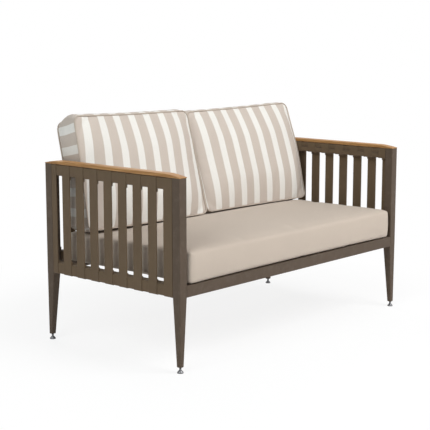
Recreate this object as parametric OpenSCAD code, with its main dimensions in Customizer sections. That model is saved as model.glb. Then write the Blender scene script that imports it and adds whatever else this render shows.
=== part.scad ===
// Two-seat rope bench for a patio or a porch.
// A welded aluminium frame carries flat rope straps wound round its rails, teak arm caps,
// a deck of flat slats, one seat cushion, two back cushions and four levelling feet.
// The origin is on the floor under the middle of the whole bench.
// X runs across its width, -Y is the front and Z is up.

/* [Frame] */
// Width over the posts
bench_w = 1300; // [1150:10:1600]
// Depth over the posts
bench_d = 680; // [620:5:740]
// Height of the post tops above the floor
post_top = 665; // [630:5:700]
// Side of the square posts
post_w = 35; // [33:1:42]
// Corner radius of the posts
post_r = 3; // [2:0.5:5]
// Wall of every tube
tube_wall = 2; // [1.5:0.1:2.5]
// Height of the front and rear seat rails
seat_rail_h = 40; // [34:1:50]
// Thickness of the front and rear seat rails, front to back
seat_rail_t = 30; // [25:1:33]
// Height of the seat rails' top above the floor
seat_rail_top = 299; // [285:1:315]
// Height of the rails that the straps are wound round
wound_rail_h = 34; // [30:1:38]
// Thickness of the rails that the straps are wound round
wound_rail_t = 28; // [24:1:30]
// Height of the lower rail of the back panel
back_low_rail_h = 25; // [22:1:30]

/* [Legs and feet] */
// Side of a leg's square lower end
leg_end_w = 18; // [16.5:0.5:22]
// Height of a leg's lower end above the floor
leg_end_z = 20; // [18:1:24]
// How far a leg's lower end stands outwards of its post's centre, both ways
leg_splay = 7.5; // [5:0.5:8]
// Diameter of a foot's pad
pad_d = 22; // [20:1:26]
// Height of a foot's pad
pad_h = 9.5; // [8:0.5:11]
// Diameter of a foot's stud
stud_d = 8; // [6:0.5:8]
// Length of a foot's stud
stud_len = 35; // [32:1:38]
// How far a foot screws in from its usual place
foot_in = 6; // [3:1:7]

/* [Straps] */
// Width of a strap
strap_w = 40.5; // [30:0.5:42]
// Gap between two straps
strap_gap = 32.5; // [30:0.5:42]
// Thickness of an upright strap
strap_t = 4.5; // [3.5:0.5:5]
// Thickness of a wrap that covers a rail between two straps
wrap_t = 3; // [2:0.5:3.5]
// Length of the strap's end that is lapped and sewn above or below a rail
strap_lap = 10; // [8:1:30]
// Width of the strap beside the left rear post
left_first_strap = 25; // [14:1:36]
// Width of the strap beside the right rear post
right_first_strap = 33; // [14:1:36]
// Width of the back's straps beside the two rear posts
back_first_strap = 28; // [14:1:36]

/* [Seat deck and arm caps] */
// Width of a slat
slat_w = 50; // [40:1:60]
// Thickness of a slat
slat_t = 12; // [10:1:16]
// Number of slats
slat_count = 10; // [7:1:11]
// Distance from a post's inner face to the outer edge of the first slat
slat_margin = 95; // [80:5:120]
// Width of an arm cap
cap_w = 37; // [35:0.5:42]
// Thickness of an arm cap
cap_t = 12; // [10.5:0.5:16]
// Thickness of an arm cap at its two ends
cap_end_t = 2.5; // [2:0.5:5]
// Length of the slope at each end of an arm cap
cap_slope = 72; // [50:1:90]

/* [Seat cushion] */
// Height of the seat cushion at its seams
seat_cushion_h = 109; // [90:1:130]
// Rise of the seat cushion's middle above its upper seam
seat_crown = 8; // [6:1:20]
// How far the seat cushion's front seam stands in front of the posts
seat_overhang = 8; // [4:1:14]
// Space beside the seat cushion's seam, to a post
seat_side_gap = 7; // [6:1:14]
// Space between the seat cushion's rear seam and the back straps
seat_rear_gap = 5; // [3:1:10]

/* [Back cushions] */
// Height of a back cushion along its front
back_cushion_h = 426; // [390:5:450]
// Width of the side strip between a back cushion's two seams
back_gusset = 88; // [76:1:98]
// Rise of a back cushion's front above its seam
back_front_crown = 32; // [20:1:40]
// Rise of a back cushion's rear above its seam
back_rear_crown = 20; // [10:1:22]
// Angle that a back cushion leans by
back_lean = 16.5; // [13:0.5:18]
// Smallest space between the two back cushions
back_mid_gap = 1; // [0.5:0.5:5]
// Angle that the left back cushion is turned by from square to the bench
left_back_turn = 1.2; // [0:0.1:2]
// Angle that the right back cushion is turned by from square to the bench
right_back_turn = 3.4; // [0:0.1:4]
// How far the top strip of the left back cushion bulges upwards
left_back_puff = 26; // [0:1:30]
// How far the top strip of the right back cushion bulges upwards
right_back_puff = 12; // [0:1:30]
// How much a back cushion's outer top corner stands above the middle of its top
back_outer_rise = 5; // [0:1:12]
// How much further out the front of the right back cushion reaches than its rear
right_back_flare = 4; // [0:0.5:4]
// Space between the left back cushion's outer seam and the post
left_side_gap = 18; // [10:1:24]
// Space between the right back cushion's outer seam and the post
right_side_gap = 9; // [9:1:18]

/* [Hidden] */
// Faces that touch lie this far apart where one side of the pair is curved or soft
ease = 0.3;
// Running clearance round a stud
run_gap = 0.06;
// Space that keeps neighbouring straps and wraps apart
seam_gap = 0.4;
// Space between a strap and the rail under it
snug = 0.2;
// Cuts run past a face by this much
overrun = 1;

// Cushion forms: points on each corner, along each side, and the rings of a crowned face
corner_steps = 4;
side_points = 5;
crown_rise_shares = [1, 0.93, 0.8, 0.56, 0.28];
crown_power_share = 2.8;
// The back cushions stand on the seat where its crown has risen this far
seat_rest_share = 0.93;
// Sides are drawn in between the corners
seat_draw = 2;
back_draw = 3;
// Side strips bulge between their seams, and their bulge rises to its full measure in this way
seat_bulge = 5;
back_bulge = 3;
bulge_shares = [[0.25, 0.8], [0.55, 1], [0.82, 0.7]];
strip_shares = [[0.25, 0.75], [0.5, 1], [0.75, 0.75]];
// Piping stands proud of the seam and is this far from edge to edge
piping_out = 2;
piping_half = 3;
seat_corner_r = 16;
back_corner_r = 38;
seat_base_inset = 4;
seat_base_rise = 5;

// Leg and foot details
leg_weld_inset = 0.15;
leg_weld_depth = 1;
leg_end_chamfer = 1.5;
insert_r = 7;
insert_len = 16;
insert_recess = 0.5;
stud_room = 16;
stud_seat_z = 3;
pad_rim_h = 2;
pad_neck_r = 5.6;
pad_profile_shares = [[0.97, 0.2], [0.86, 0.45], [0.7, 0.7], [0.58, 0.9]];

// Arm cap screws: their places are shares of the row of gaps
cap_screw_shares = [0.15, 0.5, 0.85];
cap_screw_r = 2.4;
cap_screw_head_r = 4.5;
cap_screw_head_h = 3;
cap_screw_bite = 8;
cap_screw_play = 0.1;
screw_access_r = 6;
cap_arc_steps = 8;
cap_arc_power_share = 1.6;
slat_wall = 1.5;
last_strap_least = 20;
loop_steps = 2;
loop_r = 5;
wrap_r = 3.5;

strap_pitch = strap_w + strap_gap;
half_w = bench_w / 2;
half_d = bench_d / 2;
post_inset = post_w / 2;
// Front to back room between the posts, and room across between them
span_d = bench_d - 2 * post_w;
span_w = bench_w - 2 * post_w;
// The seat cushion stands in front of the posts, so the frame's middle lies behind the origin
front_proud = seat_overhang + seat_bulge;
mid_y = front_proud / 2;
seat_rail_z = seat_rail_top - seat_rail_h;
// Wound rails stand behind the outer faces of their straps
wound_inset = strap_t + snug;
arm_rail_top = post_top - ease - strap_t - snug;
arm_rail_z = arm_rail_top - wound_rail_h;
side_rail_top = seat_rail_top - snug - wrap_t;
side_rail_z = side_rail_top - wound_rail_h;
back_low_z = seat_rail_top + ease + strap_t + snug;
back_low_top = back_low_z + back_low_rail_h;
// Inner face of the strap loops, measured from their outer face
loop_depth = 2 * wound_inset + wound_rail_t;
seat_base_z = seat_rail_top + ease;
seat_seam_z = seat_rail_top + seat_cushion_h;
seat_crown_z = seat_seam_z + seat_crown;
seat_cushion_w = span_w - 2 * seat_side_gap;
seat_front_y = -half_d - seat_overhang;
seat_rear_y = half_d - loop_depth - seat_rear_gap;
seat_cushion_d = seat_rear_y - seat_front_y;
seat_mid_y = (seat_front_y + seat_rear_y) / 2;
back_base_z = seat_seam_z + seat_crown * seat_rest_share + ease;
// A back cushion's rear crown meets the upper loops of the back straps
back_rest_y = half_d - loop_depth - 2 * ease;
back_rest_rise = arm_rail_top - back_base_z;
// The turned cushions come closer together towards their front, so there is more room at the rear
back_reach = (back_gusset + back_rear_crown) / cos(back_lean) + back_rest_rise * tan(back_lean);
back_rear_gap = back_mid_gap + 2 * piping_out
    + back_reach * max(0, sin(right_back_turn) - sin(left_back_turn));
back_cushion_w = (span_w - left_side_gap - right_side_gap - back_rear_gap) / 2;
// Depth of a turned back cushion behind its front seam, where it meets the straps
function back_depth(turn) = back_gusset + max([for (s = [0:0.05:1])
    back_rear_crown * (1 - pow(s, crown_power_share))
        - (1 - s) * back_cushion_w / 2 * sin(turn) * cos(back_lean)]);
function back_seam_y(turn) =
    back_rest_y - back_depth(turn) / cos(back_lean) - back_rest_rise * tan(back_lean);

frame_colour = [0.37, 0.33, 0.29];
strap_colour = [0.36, 0.3, 0.25];
wrap_colour = [0.34, 0.28, 0.23];
teak_colour = [0.66, 0.45, 0.24];
steel_colour = [0.6, 0.6, 0.6];
seat_colour = [0.76, 0.7, 0.64];
back_colour = [0.85, 0.8, 0.75];

// The frame's own middle is the middle of its four posts
module on_frame() {
    translate([0, mid_y, 0]) children();
}

// Turns a piece made for the left front into the same piece for another corner or side
module to_corner(side_x, side_y) {
    mirror([side_x > 0 ? 1 : 0, 0, 0]) mirror([0, side_y > 0 ? 1 : 0, 0]) children();
}

// Square outline with true round corners
module round_square(w, r) {
    square([w, w - 2 * r], center = true);
    square([w - 2 * r, w], center = true);
    for (x = [-1, 1], y = [-1, 1])
        translate([x * (w / 2 - r), y * (w / 2 - r)]) circle(r = r, $fn = 32);
}

// Rectangular tube with its length along Y, from its lower outer corner
module tube_along_y(w, h, length) {
    difference() {
        cube([w, length, h]);
        translate([tube_wall, -overrun, tube_wall])
            cube([w - 2 * tube_wall, length + 2 * overrun, h - 2 * tube_wall]);
    }
}

// Rectangular tube with its length along X, from its lower outer corner
module tube_along_x(t, h, length) {
    difference() {
        cube([length, t, h]);
        translate([-overrun, tube_wall, tube_wall])
            cube([length + 2 * overrun, t - 2 * tube_wall, h - 2 * tube_wall]);
    }
}

// Legs: a square tube above the seat rails and a tapered cast end below them.
// The end is drilled for the foot's threaded insert and for the stud's travel.
module leg(side_x, side_y) {
    post_x = -half_w + post_inset;
    post_y = -half_d + post_inset;
    color(frame_colour) on_frame() to_corner(side_x, side_y) translate([post_x, post_y, 0])
        difference() {
            union() {
                post_tube();
                tapered_leg();
            }
            translate([-leg_splay, -leg_splay, leg_end_z - overrun])
                cylinder(r = insert_r, h = insert_len + insert_recess + overrun, $fn = 48);
            translate([-leg_splay, -leg_splay, leg_end_z])
                cylinder(d = stud_d + 2 * snug, h = insert_len + stud_room, $fn = 48);
        }
}

module post_tube() {
    translate([0, 0, seat_rail_z]) difference() {
        linear_extrude(height = post_top - seat_rail_z) round_square(post_w, post_r);
        translate([0, 0, 2 * tube_wall])
            linear_extrude(height = post_top - seat_rail_z - 3 * tube_wall)
                square(post_w - 2 * tube_wall, center = true);
    }
}

module tapered_leg() {
    top_w = post_w - 2 * leg_weld_inset;
    hull() {
        translate([0, 0, seat_rail_z - leg_weld_depth])
            linear_extrude(height = 2 * leg_weld_depth) soft_square(top_w, post_r);
        translate([-leg_splay, -leg_splay, leg_end_z + leg_end_chamfer])
            linear_extrude(height = leg_weld_depth) soft_square(leg_end_w, post_r);
        translate([-leg_splay, -leg_splay, leg_end_z])
            linear_extrude(height = leg_weld_depth)
                soft_square(leg_end_w - 2 * leg_end_chamfer, post_r - leg_end_chamfer / 2);
    }
}

// Square outline whose corners are short arcs, for a shape that is stretched between two of them
module soft_square(w, r) {
    polygon([for (k = [0:3], j = [0:3])
        let (a = 90 * k + 30 * j, cx = w / 2 - r)
        [cos(90 * k + 45) * sqrt(2) * cx + r * cos(a), sin(90 * k + 45) * sqrt(2) * cx + r * sin(a)]]);
}

// Threaded steel inserts pressed into the four leg ends
module leg_inserts() {
    foot_x = -half_w + post_inset - leg_splay;
    foot_y = -half_d + post_inset - leg_splay;
    color(steel_colour) on_frame() for (x = [-1, 1], y = [-1, 1])
        to_corner(x, y) translate([foot_x, foot_y, leg_end_z + insert_recess])
            difference() {
                cylinder(r = insert_r, h = insert_len, $fn = 48);
                translate([0, 0, -overrun])
                    cylinder(d = stud_d + 2 * run_gap, h = insert_len + 2 * overrun, $fn = 48);
            }
}

// Levelling foot: a domed steel pad that stays still on the floor while its stud is turned
module foot_pad(side_x, side_y) {
    foot_x = -half_w + post_inset - leg_splay;
    foot_y = -half_d + post_inset - leg_splay;
    bore_r = stud_d / 2 + run_gap;
    dome_h = pad_h - pad_rim_h;
    profile = concat([[0, 0], [pad_d / 2, 0], [pad_d / 2, pad_rim_h]],
        [for (s = pad_profile_shares) [pad_d / 2 * s[0], pad_rim_h + dome_h * s[1]]],
        [[pad_neck_r, pad_h], [bore_r, pad_h], [bore_r, stud_seat_z], [0, stud_seat_z]]);
    color(steel_colour) on_frame() to_corner(side_x, side_y) translate([foot_x, foot_y, 0])
        rotate_extrude($fn = 48) polygon(profile);
}

module foot_stud(side_x, side_y) {
    foot_x = -half_w + post_inset - leg_splay;
    foot_y = -half_d + post_inset - leg_splay;
    color(steel_colour) on_frame() to_corner(side_x, side_y)
        translate([foot_x, foot_y, stud_seat_z + run_gap])
            cylinder(d = stud_d, h = stud_len - run_gap, $fn = 48);
}

// Front and rear seat rails: bare tubes between the posts
module seat_rail(side_y) {
    y = side_y < 0 ? -half_d + ease : half_d - ease - seat_rail_t;
    color(frame_colour) on_frame() translate([-span_w / 2, y, seat_rail_z])
        tube_along_x(seat_rail_t, seat_rail_h, span_w);
}

// Side rails of an arm: the lower one lies beside the seat, the upper one under the arm cap
module side_rail(side_x, z) {
    color(frame_colour) on_frame() to_corner(side_x, -1)
        translate([-half_w + wound_inset, -span_d / 2, z])
            tube_along_y(wound_rail_t, wound_rail_h, span_d);
}

// The upper rail of an arm has holes for the cap's screws, and wider ones below to reach them
module arm_rail(side_x, first_w) {
    rail_mid_x = -half_w + wound_inset + wound_rail_t / 2;
    color(frame_colour) difference() {
        side_rail(side_x, arm_rail_z);
        on_frame() to_corner(side_x, -1) for (y = screw_places(first_w)) {
            translate([rail_mid_x, y, arm_rail_z + wound_rail_h / 2])
                cylinder(r = cap_screw_r + cap_screw_play, h = wound_rail_h, $fn = 32);
            translate([rail_mid_x, y, arm_rail_z - overrun])
                cylinder(r = screw_access_r, h = wound_rail_h / 2, $fn = 32);
        }
    }
}

// Upper and lower rails of the back panel
module back_rail(z, h) {
    color(frame_colour) on_frame() translate([-span_w / 2, half_d - wound_inset - wound_rail_t, z])
        tube_along_x(wound_rail_t, h, span_w);
}

// Seat deck: flat tubes from the front rail to the rear one
module seat_slats() {
    first_x = -span_w / 2 + slat_margin;
    step = (span_w - 2 * slat_margin - slat_w) / (slat_count - 1);
    length = bench_d - 2 * (seat_rail_t + ease);
    color(frame_colour) on_frame() for (i = [0:slat_count - 1])
        translate([first_x + i * step, -length / 2, seat_rail_top - slat_t])
            difference() {
                cube([slat_w, length, slat_t]);
                translate([slat_wall, -overrun, slat_wall])
                    cube([slat_w - 2 * slat_wall, length + 2 * overrun, slat_t - 2 * slat_wall]);
            }
}

// An arm's straps, counted from the rear post: a part-width one, whole ones, and one that
// fills what is left before the front post
function whole_straps(first_w) =
    floor((span_d - first_w - strap_gap - last_strap_least) / strap_pitch);
function gap_count(first_w) = whole_straps(first_w) + 1;
// Rear edge of gap i, along Y
function gap_rear(first_w, i) = span_d / 2 - first_w - i * strap_pitch;
function gap_mid(first_w, i) = gap_rear(first_w, i) - strap_gap / 2;
function screw_places(first_w) = [for (s = cap_screw_shares)
    gap_mid(first_w, round(s * (gap_count(first_w) - 1)))];

// Points of a rectangle with rounded corners, anticlockwise from its lower left
function rounded_rect(x0, z0, x1, z1, r, steps) = [for (k = [0:3], j = [0:steps])
    let (cx = (k == 0 || k == 3) ? x0 + r : x1 - r, cz = k < 2 ? z0 + r : z1 - r,
        a = 180 + 90 * k + 90 * j / steps)
    [cx + r * cos(a), cz + r * sin(a)]];

// Side view of one upright strap: its run, a loop round each rail, and the two sewn laps.
// x is the distance inwards from the strap's outer face.
module strap_profile(low_z, low_top, up_z, up_top) {
    in_x = strap_t + 2 * snug + wound_rail_t;
    low_edge = low_z - snug - strap_t;
    low_ring = low_top + snug + strap_t;
    up_ring = up_z - snug - strap_t;
    up_edge = up_top + snug + strap_t;
    difference() {
        union() {
            polygon(rounded_rect(0, low_edge, loop_depth, low_ring, loop_r, loop_steps));
            polygon(rounded_rect(0, up_ring, loop_depth, up_edge, loop_r, loop_steps));
            translate([0, low_edge + loop_r]) square([strap_t, up_edge - low_edge - 2 * loop_r]);
            translate([0, low_top]) square([2 * strap_t, strap_t + strap_lap]);
            translate([0, up_z - strap_t - strap_lap]) square([2 * strap_t, strap_t + strap_lap]);
        }
        translate([strap_t, low_z - snug]) square([in_x - strap_t, low_top - low_z + 2 * snug]);
        translate([strap_t, up_z - snug]) square([in_x - strap_t, up_top - up_z + 2 * snug]);
    }
}

// Side view of one wrap: it goes once round the rail and its ends meet on the inner face
module wrap_profile(rail_z, rail_top) {
    x0 = wound_inset;
    x1 = wound_inset + wound_rail_t;
    mid_z = (rail_z + rail_top) / 2;
    out = snug + wrap_t;
    difference() {
        polygon(rounded_rect(x0 - out, rail_z - out, x1 + out, rail_top + out, wrap_r, 1));
        translate([x0 - snug, rail_z - snug])
            square([x1 - x0 + 2 * snug, rail_top - rail_z + 2 * snug]);
        translate([x1, mid_z - seam_gap]) square([out + overrun, 2 * seam_gap]);
    }
}

// Stands a side view up so that it is w wide along Y, with its rear edge at y
module upright(y, w) {
    translate([0, y, 0]) rotate([90, 0, 0]) linear_extrude(height = w) children();
}

module arm_straps(side_x, first_w) {
    n = whole_straps(first_w);
    last_rear = gap_rear(first_w, n) - strap_gap;
    color(strap_colour) on_frame() to_corner(side_x, -1) translate([-half_w, 0, 0]) {
        upright(span_d / 2 - seam_gap, first_w - seam_gap) arm_strap_profile();
        for (i = [0:n - 1])
            upright(gap_rear(first_w, i) - strap_gap, strap_w) arm_strap_profile();
        upright(last_rear, last_rear + span_d / 2 - seam_gap) arm_strap_profile();
    }
}

module arm_strap_profile() {
    strap_profile(side_rail_z, side_rail_top, arm_rail_z, arm_rail_top);
}

module rail_wraps(side_x, first_w) {
    rail_mid_x = wound_inset + wound_rail_t / 2;
    color(wrap_colour) on_frame() to_corner(side_x, -1) translate([-half_w, 0, 0])
        for (i = [0:gap_count(first_w) - 1]) {
            y = gap_rear(first_w, i) - seam_gap;
            upright(y, strap_gap - 2 * seam_gap) wrap_profile(side_rail_z, side_rail_top);
            difference() {
                upright(y, strap_gap - 2 * seam_gap) wrap_profile(arm_rail_z, arm_rail_top);
                for (s = screw_places(first_w))
                    translate([rail_mid_x, s, arm_rail_z + wound_rail_h / 2])
                        cylinder(r = cap_screw_r + cap_screw_play, h = wound_rail_h, $fn = 16);
            }
        }
}

// The back panel: a part-width strap beside each post, whole ones between them at even gaps,
// and wraps in the gaps
back_strap_room = span_w - 2 * back_first_strap;
back_strap_count = floor((back_strap_room - strap_gap) / strap_pitch);
back_gap_w = (back_strap_room - back_strap_count * strap_w) / (back_strap_count + 1);
// The outer straps end where the arms' loops stand
back_strap_reach = half_w - max(post_w, loop_depth) - seam_gap;
function back_gap_x(i) = -back_strap_room / 2 + i * (strap_w + back_gap_w);

// Turns a side view to face backwards, w wide along X, with its left edge at x
module across(x, w) {
    translate([x, half_d, 0]) rotate([90, 0, -90]) mirror([0, 0, 1])
        linear_extrude(height = w) children();
}

module back_straps() {
    color(strap_colour) on_frame() {
        for (x = [-back_strap_reach, back_strap_room / 2])
            across(x, back_strap_reach - back_strap_room / 2) back_strap_profile();
        for (i = [1:back_strap_count])
            across(back_gap_x(i) - strap_w, strap_w) back_strap_profile();
    }
}

module back_strap_profile() {
    strap_profile(back_low_z, back_low_top, arm_rail_z, arm_rail_top);
}

module back_rail_wraps() {
    color(wrap_colour) on_frame() for (i = [0:back_strap_count]) {
        x = back_gap_x(i) + seam_gap;
        across(x, back_gap_w - 2 * seam_gap) wrap_profile(back_low_z, back_low_top);
        across(x, back_gap_w - 2 * seam_gap) wrap_profile(arm_rail_z, arm_rail_top);
    }
}

// Teak arm cap: flat below, and sloped to a thin edge over each post
module arm_cap(side_x, first_w) {
    rise = cap_t - cap_end_t;
    rail_mid_x = -half_w + wound_inset + wound_rail_t / 2;
    slope = [for (j = [0:cap_arc_steps]) let (s = j / cap_arc_steps)
        [half_d - cap_slope * (1 - s), cap_t - rise * pow(s, cap_arc_power_share)]];
    front = [for (p = slope) [-p[0], p[1]]];
    color(teak_colour) on_frame() to_corner(side_x, -1) difference() {
        translate([-half_w - ease, 0, post_top]) rotate([90, 0, 90]) linear_extrude(height = cap_w)
            polygon(concat([[-half_d, 0], [half_d, 0]], reversed(slope), front));
        for (y = screw_places(first_w))
            translate([rail_mid_x, y, post_top - overrun])
                cylinder(r = cap_screw_r + cap_screw_play, h = cap_screw_bite + 2 * overrun, $fn = 32);
    }
}

// Screws that hold the caps: their heads bear inside the upper rails
module arm_cap_screws() {
    rail_mid_x = -half_w + wound_inset + wound_rail_t / 2;
    head_top = arm_rail_top - tube_wall;
    color(steel_colour) on_frame() for (side = [[-1, left_first_strap], [1, right_first_strap]])
        to_corner(side[0], -1) for (y = screw_places(side[1]))
            translate([rail_mid_x, y, 0]) {
                translate([0, 0, head_top - cap_screw_head_h])
                    cylinder(r = cap_screw_head_r, h = cap_screw_head_h, $fn = 24);
                translate([0, 0, head_top - cap_screw_head_h / 2])
                    cylinder(r = cap_screw_r, h = post_top + cap_screw_bite - head_top
                        + cap_screw_head_h / 2, $fn = 24);
            }
}

// Cushion forms. An outline is a rounded rectangle whose sides are drawn in between the corners.
function quarter_turn(p, k) =
    k == 0 ? p : k == 1 ? [-p[1], p[0]] : k == 2 ? [-p[0], -p[1]] : [p[1], -p[0]];
function cushion_outline(w, h, r, draw) = [for (k = [0:3])
    let (a = k % 2 == 0 ? w : h, b = k % 2 == 0 ? h : w)
    each concat(
        [for (j = [1:side_points]) let (f = j / (side_points + 1))
            quarter_turn([a / 2 - draw * sin(180 * f), (b - 2 * r) * (f - 0.5)], k)],
        [for (j = [0:corner_steps]) let (t = 90 * j / corner_steps)
            quarter_turn([a / 2 - r + r * cos(t), b / 2 - r + r * sin(t)], k)])];
// One ring: the outline, grown outwards by out, at height n
function cushion_ring(w, h, r, draw, out, n) =
    [for (p = cushion_outline(w + 2 * out, h + 2 * out, r + out, draw)) [p[0], p[1], n]];
// Rings of a crowned face, from its seam towards its middle; side is 1 above and -1 below
function crown_rings(w, h, r, draw, n, crown, side) = [for (k = [1:len(crown_rise_shares) - 1])
    let (s = pow(1 - crown_rise_shares[len(crown_rise_shares) - k], 1 / crown_power_share))
    [for (p = cushion_outline(w, h, r, draw))
        [p[0] * s, p[1] * s, n + side * crown * crown_rise_shares[len(crown_rise_shares) - k]]]];
// Rings of a seam with piping
function seam_rings(w, h, r, draw, n) = [
    cushion_ring(w, h, r, draw, 0, n - piping_half),
    cushion_ring(w, h, r, draw, piping_out, n),
    cushion_ring(w, h, r, draw, 0, n + piping_half)];

// Closes a stack of rings, listed from below upwards, with a point at each end
module ring_solid(rings, low_point, high_point) {
    count = len(rings[0]);
    points = concat([low_point], [for (ring = rings) each ring], [high_point]);
    last = 1 + (len(rings) - 1) * count;
    polyhedron(points, concat(
        [for (i = [0:count - 1]) [0, 1 + i, 1 + (i + 1) % count]],
        [for (k = [0:len(rings) - 2], i = [0:count - 1])
            let (a = 1 + k * count + i, b = 1 + k * count + (i + 1) % count)
            each [[a, a + count, b + count], [a, b + count, b]]],
        [for (i = [0:count - 1]) [len(points) - 1, last + (i + 1) % count, last + i]]));
}

function reversed(list) = [for (i = [len(list) - 1:-1:0]) list[i]];

// Seat cushion: flat below, where it lies on the rails and slats, and crowned above
module seat_cushion() {
    w = seat_cushion_w;
    d = seat_cushion_d;
    r = seat_corner_r;
    low_seam = seat_base_z + seat_base_rise;
    side_h = seat_seam_z - low_seam;
    rings = concat(
        [cushion_ring(w, d, r, seat_draw, -seat_base_inset, seat_base_z),
            cushion_ring(w, d, r, seat_draw, 0, low_seam)],
        [for (s = bulge_shares)
            cushion_ring(w, d, r, seat_draw, seat_bulge * s[1], low_seam + side_h * s[0])],
        [cushion_ring(w, d, r, seat_draw, 0, seat_seam_z)],
        crown_rings(w, d, r, seat_draw, seat_seam_z, seat_crown, 1));
    color(seat_colour) on_frame() translate([0, seat_mid_y, 0])
        ring_solid(rings, [0, 0, seat_base_z], [0, 0, seat_crown_z]);
}

// Back cushion, in its own frame: first across, then up its front, then out of its front.
// Its outer side can flare towards the front.
function flared(p, side_x, flare) = [p[0] + side_x * flare * max(0, min(1, 1 + p[2] / back_gusset))
    * max(0, 2 * side_x * p[0] / back_cushion_w), p[1], p[2]];
// Its foot is cut level, because it stands on the seat cushion, and its top rises outwards.
function level_foot(p, side_x) =
    let (h = back_cushion_h, up = max(0, p[1] + h / 2), rise = side_x * p[0] / back_cushion_w * 2)
    [p[0], up + up / h * back_outer_rise * rise - (1 - up / h) * p[2] * tan(back_lean), p[2]];
function leant(p) = [p[0], p[1] * sin(back_lean) - p[2] * cos(back_lean),
    back_base_z + p[1] * cos(back_lean) + p[2] * sin(back_lean)];

// A ring of the side strip: it bulges where nothing presses it, outwards and along its top
function strip_ring(side_x, w, h, r, puff, share, n) =
    [for (p = cushion_outline(w, h, r, back_draw))
        [p[0] + side_x * back_bulge * share * max(0, 2 * side_x * p[0] / w),
            p[1] + puff * share * max(0, 2 * p[1] / h), n]];

// A back cushion is turned about its left end, which rests against the straps
module back_cushion(side_x, turn, puff, flare) {
    w = back_cushion_w;
    h = back_cushion_h;
    r = back_corner_r;
    g = back_gusset;
    rings = concat(
        reversed(crown_rings(w, h, r, back_draw, -g, back_rear_crown, -1)),
        seam_rings(w, h, r, back_draw, -g),
        [for (s = strip_shares) strip_ring(side_x, w, h, r, puff, s[1], -g * (1 - s[0]))],
        seam_rings(w, h, r, back_draw, 0),
        crown_rings(w, h, r, back_draw, 0, back_front_crown, 1));
    placed = [for (ring = rings) [for (p = ring)
        leant(level_foot(flared(p, side_x, flare), side_x))]];
    low = leant(level_foot([0, 0, -g - back_rear_crown], side_x));
    high = leant(level_foot([0, 0, back_front_crown], side_x));
    left_x = side_x < 0 ? left_side_gap - span_w / 2 : span_w / 2 - right_side_gap - w;
    color(back_colour) on_frame() translate([left_x, back_rest_y, 0]) rotate([0, 0, -turn])
        translate([w / 2, back_seam_y(turn) - back_rest_y, 0]) ring_solid(placed, low, high);
}

leg(-1, -1);  // front_left_leg
leg(1, -1);  // front_right_leg
leg(-1, 1);  // rear_left_leg
leg(1, 1);  // rear_right_leg
seat_rail(-1);  // front_seat_rail
seat_rail(1);  // rear_seat_rail
side_rail(-1, side_rail_z);  // left_seat_rail
side_rail(1, side_rail_z);  // right_seat_rail
arm_rail(-1, left_first_strap);  // left_arm_rail
arm_rail(1, right_first_strap);  // right_arm_rail
back_rail(arm_rail_z, wound_rail_h);  // back_top_rail
back_rail(back_low_z, back_low_rail_h);  // back_lower_rail
seat_slats();
leg_inserts();
arm_straps(-1, left_first_strap);  // left_arm_straps
arm_straps(1, right_first_strap);  // right_arm_straps
back_straps();
rail_wraps(-1, left_first_strap);  // left_rail_wraps
rail_wraps(1, right_first_strap);  // right_rail_wraps
back_rail_wraps();
arm_cap(-1, left_first_strap);  // left_arm_cap
arm_cap(1, right_first_strap);  // right_arm_cap
arm_cap_screws();
foot_pad(-1, -1);  // front_left_pad
foot_pad(1, -1);  // front_right_pad
foot_pad(-1, 1);  // rear_left_pad
foot_pad(1, 1);  // rear_right_pad
foot_stud(-1, -1);  // front_left_stud
foot_stud(1, -1);  // front_right_stud
foot_stud(-1, 1);  // rear_left_stud
foot_stud(1, 1);  // rear_right_stud
seat_cushion();
back_cushion(-1, left_back_turn, left_back_puff, 0);  // left_back_cushion
back_cushion(1, right_back_turn, right_back_puff, right_back_flare);  // right_back_cushion
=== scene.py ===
import math
import bpy
from mathutils import Matrix, Vector, noise


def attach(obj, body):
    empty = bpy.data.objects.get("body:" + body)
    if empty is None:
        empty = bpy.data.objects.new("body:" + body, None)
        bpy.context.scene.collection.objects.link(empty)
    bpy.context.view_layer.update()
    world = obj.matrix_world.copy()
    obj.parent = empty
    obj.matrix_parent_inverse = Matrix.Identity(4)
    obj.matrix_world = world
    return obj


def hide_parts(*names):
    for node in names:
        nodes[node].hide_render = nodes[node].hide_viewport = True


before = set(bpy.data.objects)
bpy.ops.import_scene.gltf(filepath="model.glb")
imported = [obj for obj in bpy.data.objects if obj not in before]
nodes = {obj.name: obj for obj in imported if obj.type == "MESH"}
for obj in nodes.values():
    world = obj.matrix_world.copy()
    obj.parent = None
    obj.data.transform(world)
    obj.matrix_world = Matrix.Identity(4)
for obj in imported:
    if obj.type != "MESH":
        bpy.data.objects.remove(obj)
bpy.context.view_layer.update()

# The studio: a white floor and a white room, with a broad soft lamp to the front right, one to
# the left and a weaker one behind. The camera stands to the front left, a little above the arms.
scene = bpy.context.scene
scene.view_settings.view_transform = "Standard"
lens = bpy.data.cameras.new("camera")
lens.sensor_width = 36
lens.lens = 97.17
heading, look_down = math.radians(41.743), math.radians(9.301)
camera = bpy.data.objects.new("camera", lens)
camera.location = (-3.3934, -2.9379, 1.1643)
camera.rotation_euler = (math.pi / 2 - look_down, 0, heading - math.pi / 2)
scene.collection.objects.link(camera)
scene.camera = camera


def hang_lamp(name, place, target, width, power, colour=(1, 1, 1)):
    """A square soft lamp at place, turned towards target."""
    light = bpy.data.lights.new(name, "AREA")
    light.size = width
    light.energy = power
    light.color = colour
    lamp = bpy.data.objects.new(name, light)
    lamp.location = place
    lamp.rotation_euler = (Vector(target) - Vector(place)).to_track_quat("-Z", "Y").to_euler()
    scene.collection.objects.link(lamp)


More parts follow.
